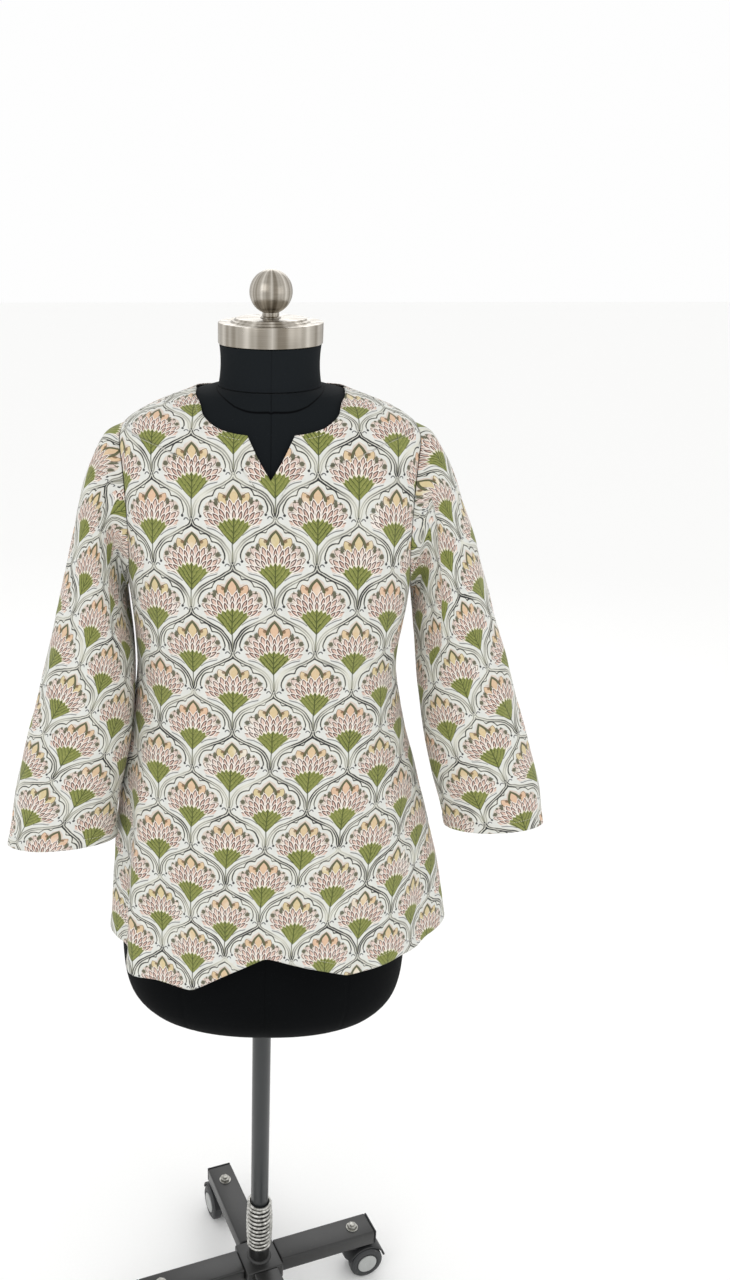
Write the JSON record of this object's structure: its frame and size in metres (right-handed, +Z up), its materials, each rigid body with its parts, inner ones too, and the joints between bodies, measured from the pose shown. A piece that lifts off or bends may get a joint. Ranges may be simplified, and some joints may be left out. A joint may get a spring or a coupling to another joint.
{
  "type": "tunic on dress form",
  "caption": "A-line tunic with long flared sleeves, notched round neck and zigzag hem, worn by a limbless dress form on a pole, coil spring and cross base with castors.",
  "frame": {"origin": "on the floor, at the centre in plan of the box round the whole object; the form's pole stands 11.25 mm to its -X side, because the sleeves hang unevenly", "axes": "+Z up, -Y out of the front of the form (the side in the picture), +X to the viewer's right as seen from the front"},
  "size_m": [0.6486, 0.3856, 1.4745],
  "materials": {
    "tunic_cotton": "matt printed cotton",
    "form_cover": "matt black jersey",
    "brushed_nickel": "brushed nickel plate",
    "pole_enamel": "dark grey satin enamel",
    "spring_steel": "bright spring wire",
    "base_enamel": "black satin enamel",
    "castor_shell": "black nylon",
    "castor_wheel": "dark grey nylon"
  },
  "bodies": {
    "stand": {"tunic_front": "tunic_cotton", "tunic_back": "tunic_cotton", "sleeve_right": "tunic_cotton", "sleeve_left": "tunic_cotton", "form_torso": "form_cover", "form_neck": "form_cover", "neck_cap": "brushed_nickel", "cap_knob": "brushed_nickel", "pole": "pole_enamel", "pole_spring": "spring_steel", "socket_tube": "base_enamel", "base_hub": "base_enamel", "base_bar_1": "base_enamel", "base_bar_2": "base_enamel", "base_bar_3": "base_enamel", "base_bar_4": "base_enamel"},
    "castor_1_fork": {"castor_1_fork": "castor_shell"},
    "castor_1_wheels": {"castor_1_wheels": "castor_wheel"},
    "castor_2_fork": {"castor_2_fork": "castor_shell"},
    "castor_2_wheels": {"castor_2_wheels": "castor_wheel"},
    "castor_3_fork": {"castor_3_fork": "castor_shell"},
    "castor_3_wheels": {"castor_3_wheels": "castor_wheel"},
    "castor_4_fork": {"castor_4_fork": "castor_shell"},
    "castor_4_wheels": {"castor_4_wheels": "castor_wheel"}
  },
  "joints": [
    {"name": "castor_1_swivel", "type": "hinge", "parent": "stand", "child": "castor_1_fork", "pos_m": [0.1297, 0.0513, 0.055], "axis": [0, 0, 1], "continuous": true},
    {"name": "castor_1_roll", "type": "hinge", "parent": "castor_1_fork", "child": "castor_1_wheels", "pos_m": [0.14662, 0.05746, 0.026], "axis": [-0.342, 0.9397, 0], "continuous": true},
    {"name": "castor_2_swivel", "type": "hinge", "parent": "stand", "child": "castor_2_fork", "pos_m": [-0.06255, 0.14095, 0.055], "axis": [0, 0, 1], "continuous": true},
    {"name": "castor_2_roll", "type": "hinge", "parent": "castor_2_fork", "child": "castor_2_wheels", "pos_m": [-0.06871, 0.15787, 0.026], "axis": [-0.9397, -0.342, 0], "continuous": true},
    {"name": "castor_3_swivel", "type": "hinge", "parent": "stand", "child": "castor_3_fork", "pos_m": [-0.1522, -0.0513, 0.055], "axis": [0, 0, 1], "continuous": true},
    {"name": "castor_3_roll", "type": "hinge", "parent": "castor_3_fork", "child": "castor_3_wheels", "pos_m": [-0.16912, -0.05746, 0.026], "axis": [0.342, -0.9397, 0], "continuous": true},
    {"name": "castor_4_swivel", "type": "hinge", "parent": "stand", "child": "castor_4_fork", "pos_m": [0.04005, -0.14095, 0.055], "axis": [0, 0, 1], "continuous": true},
    {"name": "castor_4_roll", "type": "hinge", "parent": "castor_4_fork", "child": "castor_4_wheels", "pos_m": [0.04621, -0.15787, 0.026], "axis": [0.9397, 0.342, 0], "continuous": true}
  ]
}
